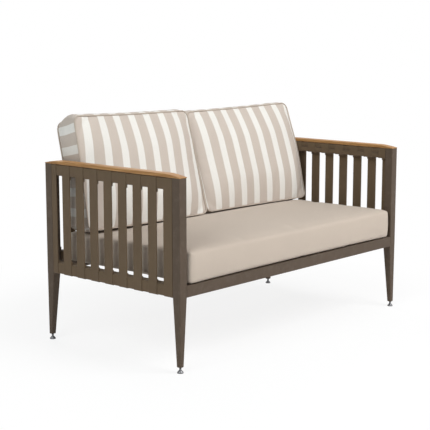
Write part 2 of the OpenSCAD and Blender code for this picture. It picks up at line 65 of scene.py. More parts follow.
hang_lamp("lamp_front", place=(0.8, -3.3, 3.6), target=(0, 0, 0.4), width=2.6, power=182)
hang_lamp("lamp_left", place=(-5.7, -1.25, 5.0), target=(0, 0, 0.4), width=3.9, power=250,
          colour=(0.93, 0.99, 1.0))
hang_lamp("lamp_back", place=(2.4, 6.0, 4.4), target=(0, 0, 0.5), width=3.9, power=165)


def put(tree, kind, settings=None, **feeds):
    """Adds a shader node. Each feed is a socket to link or a value; n3 means input 3."""
    node = tree.nodes.new(kind)
    for key, value in (settings or {}).items():
        setattr(node, key, value)
    for key, value in feeds.items():
        plain = key[0] == "n" and key[1:].isdigit()
        socket = node.inputs[int(key[1:])] if plain else node.inputs[key.replace("_", " ")]
        if isinstance(value, bpy.types.NodeSocket):
            tree.links.new(value, socket)
        else:
            socket.default_value = value
    return node


def sums(tree, operation, a, b=0.0, c=0.0):
    """A Math node's result."""
    return put(tree, "ShaderNodeMath", {"operation": operation}, n0=a, n1=b, n2=c).outputs[0]


def white_rays(tree):
    """1 for the rays that see the white room itself, 0 for those that only carry its light."""
    path = tree.nodes.new("ShaderNodeLightPath")
    seen = sums(tree, "MAXIMUM", path.outputs["Is Camera Ray"], path.outputs["Is Glossy Ray"])
    return sums(tree, "MAXIMUM", seen, path.outputs["Is Transmission Ray"])


room = bpy.data.worlds.new("room")
room.use_nodes = True
scene.world = room
tree = room.node_tree
tree.nodes.clear()
room_light = put(tree, "ShaderNodeBackground", Color=(1, 1, 1, 1), Strength=0.14).outputs[0]
room_white = put(tree, "ShaderNodeBackground", Color=(1, 1, 1, 1), Strength=1.0).outputs[0]
shown = put(tree, "ShaderNodeMixShader", n0=white_rays(tree), n1=room_light, n2=room_white)
put(tree, "ShaderNodeOutputWorld", Surface=shown.outputs[0])

floor_half = 9
fade_from, fade_to, near_glow = 0.62, 1.5, 0.84
floor_mesh = bpy.data.meshes.new("floor")
floor_mesh.from_pydata([(-floor_half, -floor_half, 0), (floor_half, -floor_half, 0),
                        (floor_half, floor_half, 0), (-floor_half, floor_half, 0)],
                       [], [(0, 1, 2, 3)])
floor = bpy.data.objects.new("floor", floor_mesh)
scene.collection.objects.link(floor)
floor_paint = bpy.data.materials.new("floor_paint")
floor_paint.use_nodes = True
tree = floor_paint.node_tree
tree.nodes.clear()
spot = put(tree, "ShaderNodeTexCoord").outputs["Object"]
far = put(tree, "ShaderNodeVectorMath", {"operation": "LENGTH"}, n0=spot).outputs["Value"]
fade = put(tree, "ShaderNodeMapRange", {"interpolation_type": "SMOOTHSTEP"},
           n0=far, n1=fade_from, n2=fade_to, n3=near_glow, n4=1.0).outputs[0]
plain = put(tree, "ShaderNodeBsdfDiffuse", Color=(0.96, 0.96, 0.96, 1)).outputs[0]
bright = put(tree, "ShaderNodeEmission", Color=(1, 1, 1, 1), Strength=1.0).outputs[0]
glow = sums(tree, "MULTIPLY", white_rays(tree), fade)
floor_mix = put(tree, "ShaderNodeMixShader", n0=glow, n1=plain, n2=bright).outputs[0]
put(tree, "ShaderNodeOutputMaterial", Surface=floor_mix)
floor_mesh.materials.append(floor_paint)

# The frame: welded aluminium posts, rails and slats, powder coated in a warm dark brown.
# The coat is satin, with fine orange peel, a little dust and faint differences of tone.
frame_parts = ["front_left_leg", "front_right_leg", "rear_left_leg", "rear_right_leg",
               "front_seat_rail", "rear_seat_rail", "left_seat_rail", "right_seat_rail",
               "left_arm_rail", "right_arm_rail", "back_top_rail", "back_lower_rail", "seat_slats"]
coat_brown, dust_beige = (0.093, 0.067, 0.048, 1), (0.24, 0.2, 0.17, 1)


def open_group(name, inputs, outputs):
    """A shader node group with named inputs and outputs, and its two ends."""
    group = bpy.data.node_groups.new(name, "ShaderNodeTree")
    for title, kind in inputs:
        group.interface.new_socket(name=title, in_out="INPUT", socket_type="NodeSocket" + kind)
    for title, kind in outputs:
        group.interface.new_socket(name=title, in_out="OUTPUT", socket_type="NodeSocket" + kind)
    given, result = group.nodes.new("NodeGroupInput"), group.nodes.new("NodeGroupOutput")
    return group, given.outputs, result.inputs


def use_group(tree, group, **feeds):
    """Places a group in a material with its own values."""
    return put(tree, "ShaderNodeGroup", {"node_tree": group}, **feeds).outputs


tone_drift, given, result = open_group(
    "tone_drift", [("Colour", "Color"), ("Amount", "Float"), ("Scale", "Float")],
    [("Colour", "Color"), ("Patches", "Float")])
place = put(tone_drift, "ShaderNodeTexCoord").outputs["Object"]
patches = put(tone_drift, "ShaderNodeTexNoise", Vector=place, Scale=given["Scale"],
              Detail=4.0, Roughness=0.6).outputs[0]
swing = sums(tone_drift, "SUBTRACT", patches, 0.5)
level = sums(tone_drift, "MULTIPLY_ADD", swing, given["Amount"], 1.0)
toned = put(tone_drift, "ShaderNodeVectorMath", {"operation": "SCALE"},
            n0=given["Colour"], Scale=level).outputs[0]
tone_drift.links.new(toned, result["Colour"])
tone_drift.links.new(patches, result["Patches"])


def open_material(name, **shader_values):
    """A material whose Principled shader has these plain values."""
    material = bpy.data.materials.new(name)
    material.use_nodes = True
    shader = material.node_tree.nodes["Principled BSDF"]
    for key, value in shader_values.items():
        shader.inputs[key.replace("_", " ")].default_value = value
    return material, material.node_tree, shader.inputs


def raise_surface(tree, sockets, height, depth, strength=1.0):
    """Feeds a height into the shader's normal through a Bump node."""
    bump = put(tree, "ShaderNodeBump", Height=height, Distance=depth, Strength=strength)
    tree.links.new(bump.outputs[0], sockets["Normal"])


powder_coat, tree, sockets = open_material("powder_coat", Specular_IOR_Level=0.15)
toned = use_group(tree, tone_drift, Colour=coat_brown, Amount=0.22, Scale=7.0)
spot = put(tree, "ShaderNodeTexCoord").outputs["Object"]
peel = put(tree, "ShaderNodeTexNoise", Vector=spot, Scale=1400.0, Detail=2.0).outputs[0]
dust = put(tree, "ShaderNodeTexNoise", Vector=spot, Scale=38.0, Detail=8.0, Roughness=0.7)
dust = put(tree, "ShaderNodeMapRange", n0=dust.outputs[0], n1=0.5, n2=0.75, n3=0.0, n4=0.16)
dusty = put(tree, "ShaderNodeMix", {"data_type": "RGBA"},
            n0=dust.outputs[0], n6=toned["Colour"], n7=dust_beige).outputs[2]
tree.links.new(dusty, sockets["Base Color"])
matt = put(tree, "ShaderNodeMapRange", n0=toned["Patches"], n3=0.42, n4=0.58).outputs[0]
tree.links.new(matt, sockets["Roughness"])
raise_surface(tree, sockets, peel, 0.00012)


def finish_cad(names, material):
    """Gives CAD nodes that keep their own shape a new finish."""
    for name in names:
        for place in nodes[name].material_slots:
            place.link = "OBJECT"
            place.material = material


finish_cad(frame_parts, powder_coat)

# The straps: flat braided outdoor rope, 40.5 mm wide and 4.5 mm thick. Each goes once round
# the lower rail, up the outer side and once round the upper rail, and both ends are sewn back.
# The posts' outline is half_w and half_d about mid_y; the rails are given as (low, high), and
# rail_in and rail_out are their faces, inwards from the posts' outer faces.
half_w, half_d, mid_y, post_w = 0.65, 0.34, 0.0065, 0.035
rail_in, rail_out = 0.0047, 0.0327
side_rail, arm_rail, back_rail = (0.2618, 0.2958), (0.626, 0.66), (0.304, 0.329)
strap_w, strap_gap, strap_t, wrap_t = 0.0405, 0.0325, 0.0045, 0.003
snug, seam_gap, lap, loop_depth = 0.0002, 0.0004, 0.01, 0.0374
left_first, right_first, back_first, last_least = 0.025, 0.033, 0.028, 0.02
rope_brown = (0.12, 0.08, 0.045, 1)


def round_path(corners, radius, step):
    """Points along straight runs between corners, with each inner corner rounded.
    A rounding takes a little less than half of the shorter run beside it."""
    points = [Vector(corners[0])]
    for before, corner, after in zip(corners, corners[1:], corners[2:]):
        corner = Vector(corner)
        back, on = Vector(before) - corner, Vector(after) - corner
        r = min(radius, back.length / 2.05, on.length / 2.05)
        start, end = corner + back.normalized() * r, corner + on.normalized() * r
        for i in range(5):
            f = i / 4
            points.append(start * (1 - f) ** 2 + corner * 2 * f * (1 - f) + end * f ** 2)
    points.append(Vector(corners[-1]))
    even = [points[0]]
    for point in points[1:]:
        gap = (point - even[-1]).length
        pieces = max(1, int(gap / step))
        start = even[-1]
        for i in range(1, pieces + 1):
            even.append(start.lerp(point, i / pieces))
    return even


def lay_strap(mesh, path, low, high, thick, set_in, number):
    """Adds one strap to mesh: path is (inwards, up), and it lies from low to high across.
    Its edges are corded. Its number sets where its pattern starts and how it strays."""
    along_step, across_step, noise_step, waves, stray = 1.37, 0.05, 3.1, 9, 0.0004
    half, mid, t = (high - low) / 2, (high + low) / 2, thick / 2
    rim = [(-1, 0.0), (-0.99, 0.75), (-0.965, 0.97), (-0.9, 1.0), (-0.8, 0.9), (-0.4, 0.86)]
    rim.append((0, 0.86))
    rim += [(-a, b) for a, b in reversed(rim[:-1])]
    rim += [(a, -b) for a, b in reversed(rim[1:-1])]
    verts, faces, uvs = mesh
    first, count, along = len(verts), len(rim), number * along_step
    for i, point in enumerate(path):
        ahead = path[min(i + 1, len(path) - 1)] - path[max(i - 1, 0)]
        side = Vector((ahead.y, -ahead.x)).normalized()
        if i:
            along += (point - path[i - 1]).length
        sway = stray * noise.noise(Vector((along * waves, number * noise_step, 0)))
        for a, b in rim:
            spot = point + side * (b * t)
            verts.append(set_in(spot.x, mid + a * half + sway, spot.y))
            uvs.append((a * half + across_step * number, along))
    for i in range(len(path) - 1):
        for k in range(count):
            a, b = first + i * count + k, first + i * count + (k + 1) % count
            faces.append((a, b, b + count, a + count))
    faces.append([first + k for k in reversed(range(count))])
    faces.append([first + (len(path) - 1) * count + k for k in range(count)])


def upright_path(low_rail, high_rail):
    """Middle line of a strap: lap, round the lower rail, up, round the upper rail, lap."""
    c, lap_gap = strap_t / 2, 0.0001
    inner, lapped = rail_out + snug + c, strap_t + c + lap_gap
    corners = [(lapped, low_rail[1] + snug + strap_t + lap), (lapped, low_rail[1] + snug + c),
               (inner, low_rail[1] + snug + c), (inner, low_rail[0] - snug - c),
               (c, low_rail[0] - snug - c),
               (c, high_rail[1] + snug + c), (inner, high_rail[1] + snug + c),
               (inner, high_rail[0] - snug - c), (lapped, high_rail[0] - snug - c),
               (lapped, high_rail[0] - snug - strap_t - lap)]
    return round_path(corners, radius=0.0035, step=0.014)


def wrap_path(rail):
    """Middle line of a wrap: once round the rail, from and to the middle of its inner face."""
    c = snug + wrap_t / 2
    middle = (rail[0] + rail[1]) / 2
    corners = [(rail_out + c, middle + seam_gap), (rail_out + c, rail[1] + c),
               (rail_in - c, rail[1] + c), (rail_in - c, rail[0] - c),
               (rail_out + c, rail[0] - c), (rail_out + c, middle - seam_gap)]
    return round_path(corners, radius=0.003, step=0.008)


def make_piece(name, mesh, material, body, replaced=()):
    """Turns lists of points, faces and pattern places into a smooth piece on a body."""
    verts, faces, uvs = mesh
    data = bpy.data.meshes.new(name)
    data.from_pydata([tuple(v) for v in verts], [], faces)
    if uvs:
        layer = data.uv_layers.new(name="cloth")
        for loop in data.loops:
            layer.data[loop.index].uv = uvs[loop.vertex_index]
    data.polygons.foreach_set("use_smooth", [True] * len(data.polygons))
    data.materials.append(material)
    piece = bpy.data.objects.new(name, data)
    scene.collection.objects.link(piece)
    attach(piece, body)
    if replaced:
        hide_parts(*replaced)
    return piece


def arm_places(first_w):
    """Low and high ends, along the arm, of its straps and of the gaps between them."""
    room, gap = 2 * half_d - 2 * post_w, strap_gap
    whole = math.floor((room - first_w - gap - last_least) / (strap_w + gap))
    rear = [room / 2 - first_w - i * (strap_w + gap) for i in range(whole + 1)]
    straps = [(room / 2 - first_w, room / 2 - seam_gap)]
    straps += [(y - gap - strap_w, y - gap) for y in rear[:-1]]
    straps.append((-room / 2 + seam_gap, rear[-1] - gap))
    return straps, [(y - gap + seam_gap, y - seam_gap) for y in rear]


weave, given, result = open_group(
    "weave", [("Place", "Vector"), ("Pitch", "Float")], [("Height", "Float")])
scaled = put(weave, "ShaderNodeVectorMath", {"operation": "SCALE"}, n0=given["Place"],
             Scale=sums(weave, "DIVIDE", 1.0, given["Pitch"]))
across = put(weave, "ShaderNodeSeparateXYZ", n0=scaled.outputs[0]).outputs
ridge_u = sums(weave, "SINE", sums(weave, "MULTIPLY", sums(weave, "FRACT", across[0]), math.pi))
ridge_v = sums(weave, "SINE", sums(weave, "MULTIPLY", sums(weave, "FRACT", across[1]), math.pi))
cell = sums(weave, "ADD", sums(weave, "FLOOR", across[0]), sums(weave, "FLOOR", across[1]))
over = sums(weave, "PINGPONG", cell, 1.0)
warp = sums(weave, "MULTIPLY", ridge_u, sums(weave, "MULTIPLY_ADD", ridge_v, 0.45, 0.55))
weft = sums(weave, "MULTIPLY", ridge_v, sums(weave, "MULTIPLY_ADD", ridge_u, 0.45, 0.55))
height = put(weave, "ShaderNodeMix", n0=over, n2=warp, n3=weft).outputs[0]
weave.links.new(height, result["Height"])

flat_rope, tree, sockets = open_material(
    "flat_rope", Roughness=0.78, Specular_IOR_Level=0.25, Sheen_Weight=0.12, Sheen_Roughness=0.5)
cloth = put(tree, "ShaderNodeUVMap", {"uv_map": "cloth"}).outputs[0]
turned = put(tree, "ShaderNodeMapping", Vector=cloth, Rotation=(0, 0, math.radians(45))).outputs[0]
plait = use_group(tree, weave, Place=turned, Pitch=0.0026)
toned = use_group(tree, tone_drift, Colour=rope_brown, Amount=0.3, Scale=11.0)
streak = put(tree, "ShaderNodeMapping", Vector=cloth, Scale=(900, 9, 1)).outputs[0]
streak = put(tree, "ShaderNodeTexNoise", Vector=streak, Scale=1.0, Detail=3.0).outputs[0]
shade = sums(tree, "MULTIPLY_ADD", streak, 0.3, 0.68)
# the braid's hollows are darkened and its ridges lightened in the colour: painted shade. The
# streaks are the rope's own tone.
shade = sums(tree, "MULTIPLY_ADD", plait["Height"], 0.28, shade)
yarn_and_painted_shade = put(tree, "ShaderNodeVectorMath", {"operation": "SCALE"}, n0=toned["Colour"], Scale=shade)
tree.links.new(yarn_and_painted_shade.outputs[0], sockets["Base Color"])
raise_surface(tree, sockets, plait["Height"], 0.0004, 0.6)

for side, name, first_w in ((-1, "left", left_first), (1, "right", right_first)):
    straps, gaps = arm_places(first_w)
    numbers = 20 if side > 0 else 0

    def on_arm(inwards, along, up, side=side):
        return (side * (half_w - inwards), along + mid_y, up)

    run, wraps = ([], [], []), ([], [], [])
    for k, (low, high) in enumerate(straps):
        path = upright_path(side_rail, arm_rail)
        lay_strap(run, path, low, high, strap_t, on_arm, k + numbers)
    make_piece(name + "_arm_rope", run, flat_rope, "frame", [name + "_arm_straps"])
    for k, (low, high) in enumerate(gaps):
        for m, rail in enumerate((side_rail, arm_rail)):
            number = 40 + 2 * k + m + numbers
            lay_strap(wraps, wrap_path(rail), low, high, wrap_t, on_arm, number)
    make_piece(name + "_arm_rope_wraps", wraps, flat_rope, "frame",
               [name + "_rail_wraps"])

# The back panel: the same straps round its two rails, with a part-width one beside each post,
# and the same wraps between them. Both rails are fully covered, as they are on the arms.
back_room = 2 * half_w - 2 * post_w - 2 * back_first
back_count = math.floor((back_room - strap_gap) / (strap_w + strap_gap))
back_gap = (back_room - back_count * strap_w) / (back_count + 1)


def on_back(inwards, along, up):
    return (along, half_d + mid_y - inwards, up)


run, wraps = ([], [], []), ([], [], [])
back_reach = half_w - loop_depth - seam_gap
back_straps = [(-back_reach, -back_room / 2), (back_room / 2, back_reach)]
for k in range(back_count + 1):
    x = -back_room / 2 + k * (strap_w + back_gap)
    if k:
        back_straps.append((x - strap_w, x))
    for m, rail in enumerate((back_rail, arm_rail)):
        low, high, number = x + seam_gap, x + back_gap - seam_gap, 120 + 2 * k + m
        lay_strap(wraps, wrap_path(rail), low, high, wrap_t, on_back, number)
for k, (low, high) in enumerate(back_straps):
    lay_strap(run, upright_path(back_rail, arm_rail), low, high, strap_t, on_back, 90 + k)
make_piece("back_rope", run, flat_rope, "frame", ["back_straps"])
make_piece("back_rope_wraps", wraps, flat_rope, "frame", ["back_rail_wraps"])

# The arm caps: oiled teak boards that lie on the posts and the upper rails. Their long edges
# are eased, and each end is planed down to a thin edge over its post.
cap_w, cap_t, cap_end_t, cap_slope, cap_z = 0.037, 0.012, 0.0025, 0.072, 0.665
cap_over, cap_ease, low_ease, end_drop, end_run = 0.0003, 0.0022, 0.0006, 0.0008, 0.0005
slope_power = 1.6
teak_dark, teak_light = (0.215, 0.09, 0.024, 1), (0.5, 0.275, 0.1, 1)

teak, tree, sockets = open_material("oiled_teak", Roughness=0.5, Specular_IOR_Level=0.3)
spot = put(tree, "ShaderNodeTexCoord").outputs["Object"]
drawn = put(tree, "ShaderNodeMapping", Vector=spot, Scale=(26, 1.1, 40)).outputs[0]
figure = put(tree, "ShaderNodeTexNoise", Vector=drawn, Scale=2.4, Detail=5.0, Distortion=0.5)
rings = sums(tree, "SINE", sums(tree, "MULTIPLY", figure.outputs[0], 34.0))
fibre = put(tree, "ShaderNodeMapping", Vector=spot, Scale=(900, 14, 900)).outputs[0]
fibre = put(tree, "ShaderNodeTexNoise", Vector=fibre, Scale=1.0, Detail=4.0).outputs[0]
grain = sums(tree, "MULTIPLY_ADD", rings, 0.22, sums(tree, "MULTIPLY_ADD", fibre, 0.5, 0.25))
ramp = put(tree, "ShaderNodeValToRGB", Fac=grain)
ramp.color_ramp.elements[0].color = teak_dark
ramp.color_ramp.elements[1].color = teak_light
toned = use_group(tree, tone_drift, Colour=ramp.outputs[0], Amount=0.35, Scale=5.0)
tree.links.new(toned["Colour"], sockets["Base Color"])
raise_surface(tree, sockets, grain, 0.0002, 0.5)


def cap_top(y):
    """Height of the board's upper face above its underside, at y along the arm."""
    s = max(0, (abs(y) - (half_d - cap_slope)) / cap_slope)
    return cap_t - (cap_t - cap_end_t) * s ** slope_power


def plane_cap(side):
    """One board, from cross-sections with eased upper edges, closer together at its ends."""
    marks = [half_d * m for m in (-1, -0.997, -0.99)]
    marks += [-half_d + cap_slope * i / 12 for i in range(1, 13)] + [-0.15, -0.05]
    marks += [-m for m in reversed(marks)]
    verts, faces = [], []
    low_x = -half_w - cap_over
    high_x = low_x + cap_w
    for y in marks:
        top = cap_top(y) - (end_drop if abs(y) > half_d - end_run else 0)
        r = min(cap_ease, top * 0.45)
        ring = [(low_x + low_ease, 0), (low_x, low_ease)]
        for a in map(math.radians, (0, 30, 60, 90)):
            ring.append((low_x + r - r * math.cos(a), top - r + r * math.sin(a)))
        ring += [(low_x + high_x - x, z) for x, z in reversed(ring)]
        verts += [(-side * x, y + mid_y, cap_z + z) for x, z in ring]
    count = len(ring)
    for k in range(len(marks) - 1):
        for i in range(count):
            a, b = k * count + i, k * count + (i + 1) % count
            faces.append((a, b, b + count, a + count))
    faces.append(list(range(count))[::-1])
    faces.append([(len(marks) - 1) * count + i for i in range(count)])
    return verts, faces, None


for side, name in ((-1, "left"), (1, "right")):
    cap = make_piece(name + "_teak_cap", plane_cap(side), teak, "frame",
                     [name + "_arm_cap"])
    cap.modifiers.new("edges", "EDGE_SPLIT").split_angle = math.radians(50)

# The feet: dark zinc plated steel. A domed pad stands on the floor, and its threaded stud screws
# into an insert in the leg. The cap screws are of the same steel.
dark_zinc = (0.14, 0.14, 0.145, 1)
foot_x, front_foot_y, rear_foot_y = 0.64, -0.3235, 0.3365
zinc, tree, sockets = open_material("zinc_plate", Metallic=1.0, Specular_IOR_Level=0.5)
toned = use_group(tree, tone_drift, Colour=dark_zinc, Amount=0.3, Scale=60.0)
tree.links.new(toned["Colour"], sockets["Base Color"])
worn = put(tree, "ShaderNodeMapRange", n0=toned["Patches"], n3=0.28, n4=0.5).outputs[0]
tree.links.new(worn, sockets["Roughness"])
finish_cad(["leg_inserts", "arm_cap_screws", "front_left_pad", "front_right_pad",
            "rear_left_pad", "rear_right_pad"], zinc)


def cut_thread(x, y):
    """A stud with a real thread of 1.25 mm pitch, from its seat in the pad to its end."""
    low, high, pitch, crest, root, around = 0.00306, 0.038, 0.00125, 0.00398, 0.0034, 20
    rows = [(-0.5, root), (-0.12, crest), (0.12, crest), (0.5, root)]
    verts, faces = [], []
    steps = int((high - low) / pitch * around)
    for i in range(steps + 1):
        a = 2 * math.pi * i / around
        for shift, r in rows:
            z = min(high, max(low, low + pitch * (i / around + shift)))
            verts.append((x + r * math.cos(a), y + r * math.sin(a), z))
    for i in range(steps):
        for k in range(3):
            a = i * 4 + k
            faces.append((a, a + 4, a + 5, a + 1))
    return verts, faces, None


for front, y in (("front", front_foot_y), ("rear", rear_foot_y)):
    for side, x in (("left", -foot_x), ("right", foot_x)):
        name = front + "_" + side
        make_piece(name + "_threaded_stud", cut_thread(x, y), zinc, name + "_screw",
                   [name + "_stud"])

# The seat cushion: one thick block of foam in a box cover of plain beige cloth. Its top is
# crowned, its sides draw in between the corners, and its foot lies flat on the rails.
crown_power = 2.8


def fold_cover(w, h, g, corner, draw, bulge, crown, under, cell, pattern=(0, 0, 0, 1)):
    """A box cover: front and rear faces of a grid each, joined by a side strip.
    x runs across, y up the face, z out of it; the front seam is at z 0 and the rear at -g.
    corner is the seams' radius, draw how far their straight runs are drawn in, bulge the
    strip's, crown and under the faces' fullness, and cell the size of a mesh face.
    pattern is the cloth's shift, slant, the strip's own shift and how far the cloth is eased."""
    shift, slant, strip_shift, ease = pattern
    nx, ny, nz = round(w / cell), round(h / cell), max(4, round(g / cell))

    def spot(i, j, rise):
        a, b = 2 * i / nx - 1, 2 * j / ny - 1
        x, y = a * w / 2, b * h / 2
        u, v = (abs(x) - w / 2) / corner + 1, (abs(y) - h / 2) / corner + 1
        if u > 0 and v > 0:
            x = math.copysign(w / 2 - corner + corner * u * math.sqrt(1 - v * v / 2), x)
            y = math.copysign(h / 2 - corner + corner * v * math.sqrt(1 - u * u / 2), y)
        s = min(1, (abs(a) ** 5 + abs(b) ** 5) ** 0.2)
        x, y = x - draw * a * (1 - b * b), y - draw * b * (1 - a * a)
        return Vector((x, y, rise * (1 - s ** crown_power)))

    rim = [(i, 0) for i in range(nx)] + [(nx, j) for j in range(ny)]
    rim += [(i, ny) for i in range(nx, 0, -1)] + [(0, j) for j in range(ny, 0, -1)]
    edge = [spot(i, j, 0) for i, j in rim]
    count = len(rim)
    verts, faces, uvs, seams = [], [], [], ([], [])
    index = ({}, {})
    for face, (rise, z) in enumerate(((crown, 0), (-under, -g))):
        for j in range(ny + 1):
            for i in range(nx + 1):
                index[face][i, j] = len(verts)
                verts.append(spot(i, j, rise) + Vector((0, 0, z)))
        for j in range(ny):
            for i in range(nx):
                ring = [(i, j), (i + 1, j), (i + 1, j + 1), (i, j + 1)]
                ring = ring if face == 0 else ring[::-1]
                faces.append([index[face][k] for k in ring])
                flat = [spot(*k, 0) for k in ring]
                uvs.append([(p.x * ease + shift - slant * p.y, p.y) for p in flat])
        seams[face].extend(index[face][k] for k in rim)
    rows = [seams[0]]
    for k in range(1, nz):
        row = []
        for m, point in enumerate(edge):
            ahead = edge[(m + 1) % count] - edge[m - 1]
            out = Vector((ahead.y, -ahead.x, 0)).normalized()
            row.append(len(verts))
            point = point + out * (bulge * math.sin(math.pi * k / nz))
            verts.append(point + Vector((0, 0, -g * k / nz)))
        rows.append(row)
    rows.append(seams[1])
    run = [0]
    for m in range(count):
        run.append(run[-1] + (edge[(m + 1) % count] - edge[m]).length)
    top = run[nx + ny + nx // 2]
    for k in range(nz):
        for m in range(count):
            n = (m + 1) % count
            faces.append([rows[k][m], rows[k + 1][m], rows[k + 1][n], rows[k][n]])
            ring = ((m, k), (m, k + 1), (m + 1, k + 1), (m + 1, k))
            uvs.append([(top - run[a] + strip_shift, -g * b / nz) for a, b in ring])
    return verts, faces, uvs, seams


def sew_cover(name, cover, material):
    """Makes the cover's mesh, with its pattern places per corner of each face."""
    verts, faces, uvs, seams = cover
    data = bpy.data.meshes.new(name)
    data.from_pydata([tuple(v) for v in verts], [], faces)
    layer = data.uv_layers.new(name="cloth")
    flat = [uv for face in uvs for uv in face]
    for loop in data.loops:
        layer.data[loop.index].uv = flat[loop.index]
    data.polygons.foreach_set("use_smooth", [True] * len(data.polygons))
    data.materials.append(material)
    piece = bpy.data.objects.new(name, data)
    scene.collection.objects.link(piece)
    return piece


def fill_cover(piece, held, pressure, slack, most):
    """Fills the cover with Cloth pressure, keeps the held points, and limits every move."""
    fill_frames, spare_frames = 20, 4
    start = [v.co.copy() for v in piece.data.vertices]
    group = piece.vertex_groups.new(name="held")
    for weight, points in held:
        group.add(points, weight, "REPLACE")
    cloth = piece.modifiers.new("filling", "CLOTH")
    cloth.settings.quality = 6
    cloth.settings.mass = 0.3
    cloth.settings.tension_stiffness = 25
    cloth.settings.compression_stiffness = 18
    cloth.settings.shear_stiffness = 8
    cloth.settings.bending_stiffness = 0.9
    cloth.settings.shrink_min = -slack
    cloth.settings.use_pressure = True
    cloth.settings.uniform_pressure_force = pressure
    cloth.settings.vertex_group_mass = "held"
    cloth.settings.effector_weights.gravity = 0
    cloth.collision_settings.use_collision = False
    cloth.point_cache.frame_start = 1
    cloth.point_cache.frame_end = fill_frames + spare_frames
    for number in range(1, fill_frames + 1):
        scene.frame_set(number)
    filled = piece.evaluated_get(bpy.context.evaluated_depsgraph_get()).data
    ends = [v.co.copy() for v in filled.vertices]
    piece.modifiers.remove(cloth)
    piece.vertex_groups.clear()
    scene.frame_set(1)
    for vertex, a, b in zip(piece.data.vertices, start, ends):
        move = b - a
        if move.length > most:
            move *= most / move.length
        vertex.co = a + move


def run_cord(points, radius, around=8):
    """A closed round cord along points."""
    verts, faces, count = [], [], len(points)
    for k, point in enumerate(points):
        ahead = (points[(k + 1) % count] - points[k - 1]).normalized()
        side = ahead.cross(Vector((0, 0, 1)))
        side = side.normalized() if side.length > 0.1 else Vector((1, 0, 0))
        up = side.cross(ahead).normalized()
        for i in range(around):
            a = 2 * math.pi * i / around
            verts.append(point + side * (radius * math.cos(a)) + up * (radius * math.sin(a)))
    for k in range(count):
        for i in range(around):
            n, m = (k + 1) % count, (i + 1) % around
            faces.append((k * around + i, k * around + m, n * around + m, n * around + i))
    return verts, faces, [(0.0, 0.0)] * len(verts)


def open_cloth(name):
    """A cloth's material, its tree and sockets, and its place on the piece."""
    cloth, tree, sockets = open_material(
        name, Roughness=0.85, Specular_IOR_Level=0.2, Sheen_Weight=0.15, Sheen_Roughness=0.45)
    return cloth, tree, sockets, put(tree, "ShaderNodeUVMap", {"uv_map": "cloth"}).outputs[0]


def weave_cloth(tree, sockets, spot, toned, slub_scale, relief, least):
    """Weaves a toned cloth with slubs along one way. Its colour is also darker in the hollows
    between threads and lighter on their crowns, which is painted shade.
    least is the share of the colour that the darkest yarn keeps, and relief the painted light that
    the crown of a thread adds to it."""
    threads = use_group(tree, weave, Place=spot, Pitch=0.0011)["Height"]
    slub = put(tree, "ShaderNodeMapping", Vector=spot, Scale=slub_scale).outputs[0]
    slub = put(tree, "ShaderNodeTexNoise", Vector=slub, Scale=1.0, Detail=2.0).outputs[0]
    shade = sums(tree, "MULTIPLY_ADD", slub, 0.16, least)
    # the thread height lightens the crowns and darkens the hollows: painted shade, while the slubs
    # are the yarn's own tone
    shade = sums(tree, "MULTIPLY_ADD", threads, relief, shade)
    yarn_and_painted_shade = put(tree, "ShaderNodeVectorMath", {"operation": "SCALE"}, n0=toned, Scale=shade)
    tree.links.new(yarn_and_painted_shade.outputs[0], sockets["Base Color"])
    raise_surface(tree, sockets, threads, 0.0002, 0.5)


seat_w, seat_d, seat_seam, seat_base, seat_side = 1.216, 0.6456, 0.408, 0.2993, 0.1037
seat_front, seat_rear, seat_beige = -0.348, 0.2976, (0.522, 0.442, 0.371, 1)

plain_cloth, tree, sockets, spot = open_cloth("plain_cloth")
toned = use_group(tree, tone_drift, Colour=seat_beige, Amount=0.1, Scale=4.0)["Colour"]
weave_cloth(tree, sockets, spot, toned, (60, 1800, 1), relief=0.14, least=0.82)

# The back cushions press the seat down by press behind press_y. Its lower edge is eased by
# foot_ease, and the filled cover stays within side_limit, front_room and rear_room, clear of
# the posts and the straps.
press, press_y, press_run, press_depth = 0.008, 0.12, 0.05, 0.04
foot_ease, foot_run = 0.005, 0.008
side_limit, front_room, rear_room = 0.6125, 0.006, 0.0035
cover = fold_cover(seat_w, seat_d, seat_side, corner=0.016, draw=0.002, bulge=0.003,
                   crown=0.006, under=0.005, cell=0.0145)
seat = sew_cover("seat_pad", cover, plain_cloth)
fill_cover(seat, [(0.25, cover[3][0] + cover[3][1])], pressure=5.0, slack=0.004, most=0.010)
for vertex in seat.data.vertices:
    x, y, z = vertex.co
    edge = min(seat_w / 2 - abs(x), seat_d / 2 - abs(y))
    floor_z = seat_base - seat_seam + foot_ease * max(0, 1 - max(0, edge) / foot_run) ** 2
    under = max(0, min(1, (y - press_y) / press_run))
    z -= press * under * under * (3 - 2 * under) * max(0, min(1, 1 + z / press_depth))
    vertex.co.z = max(z, floor_z)
    vertex.co.x = max(-side_limit, min(side_limit, x))
    vertex.co.y = max(-seat_d / 2 - front_room, min(seat_d / 2 + rear_room, y))
seat.location = (0, mid_y + (seat_front + seat_rear) / 2, seat_seam)
seat.modifiers.new("smooth", "SUBSURF").render_levels = 1
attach(seat, "seat")
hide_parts("seat_cushion")

# The back cushions: foam in box covers of striped cloth, piped along both seams. They stand
# on the seat and lean on the back straps, the right one turned a little further forward.
back_w, back_h, back_g, back_lean, back_base = 0.59545, 0.426, 0.088, math.radians(16.5), 0.41574
back_corner, piping_radius, rest_gap = 0.032, 0.0026, 0.0006
rest_y = half_d - loop_depth - rest_gap
stripe_pitch, white_share, stripe_blur = 0.0775, 0.42, 0.008
stripe_beige, stripe_cream = (0.557, 0.484, 0.425, 1), (0.775, 0.75, 0.705, 1)

